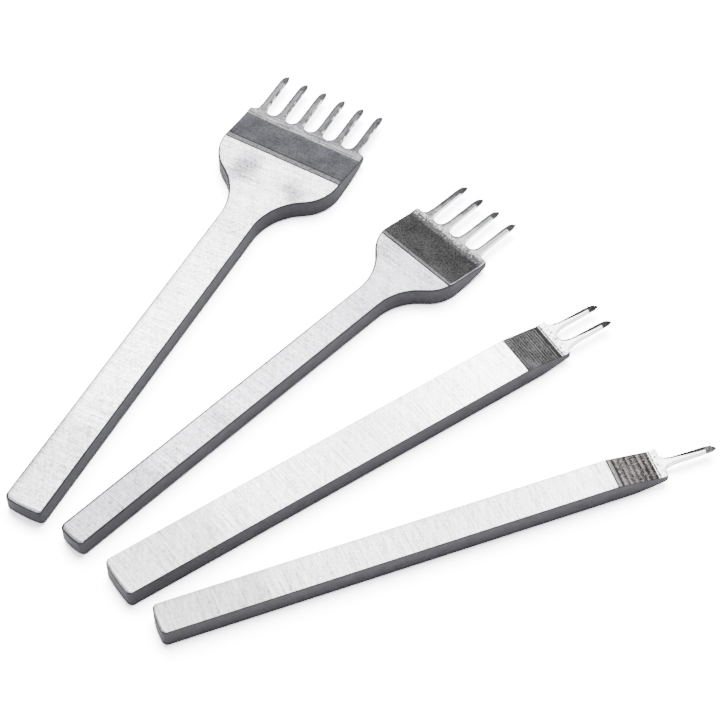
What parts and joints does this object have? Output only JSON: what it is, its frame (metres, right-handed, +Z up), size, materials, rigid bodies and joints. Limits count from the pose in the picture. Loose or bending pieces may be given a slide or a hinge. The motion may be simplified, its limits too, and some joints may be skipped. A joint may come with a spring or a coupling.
{
  "type": "leather stitching chisel set",
  "caption": "Set of steel stitching chisels, each a flat bar that ends in a ground land with a row of pointed prongs, lying in a fan.",
  "frame": {"origin": "middle of the set's bounding box, on the surface that the chisels lie on", "axes": "+Z up from that surface, +Y along the middle of the fan from the struck ends towards the prongs, +X across to the one-prong chisel's side"},
  "size_m": [0.111, 0.1042, 0.0042],
  "materials": {
    "ground_steel": "satin, surface ground on the wide faces, with fine scratches",
    "dark_sides": "dark grey scale left on the bar's edges and struck end, semi-matt",
    "ground_band": "dark, coarsely ground slope across the head",
    "prong_steel": "polished, with dark facets at the points"
  },
  "bodies": {
    "six_prong": {"six_prong_chisel": "ground_steel"},
    "four_prong": {"four_prong_chisel": "ground_steel"},
    "two_prong": {"two_prong_chisel": "ground_steel"},
    "one_prong": {"one_prong_chisel": "ground_steel"}
  },
  "joints": [
    {"name": "four_prong_lift", "type": "slide", "parent": "six_prong", "child": "four_prong", "axis": [0, 0, 1], "range_m": [0, 0.06]},
    {"name": "two_prong_lift", "type": "slide", "parent": "six_prong", "child": "two_prong", "axis": [0, 0, 1], "range_m": [0, 0.06]},
    {"name": "one_prong_lift", "type": "slide", "parent": "six_prong", "child": "one_prong", "axis": [0, 0, 1], "range_m": [0, 0.06]}
  ]
}
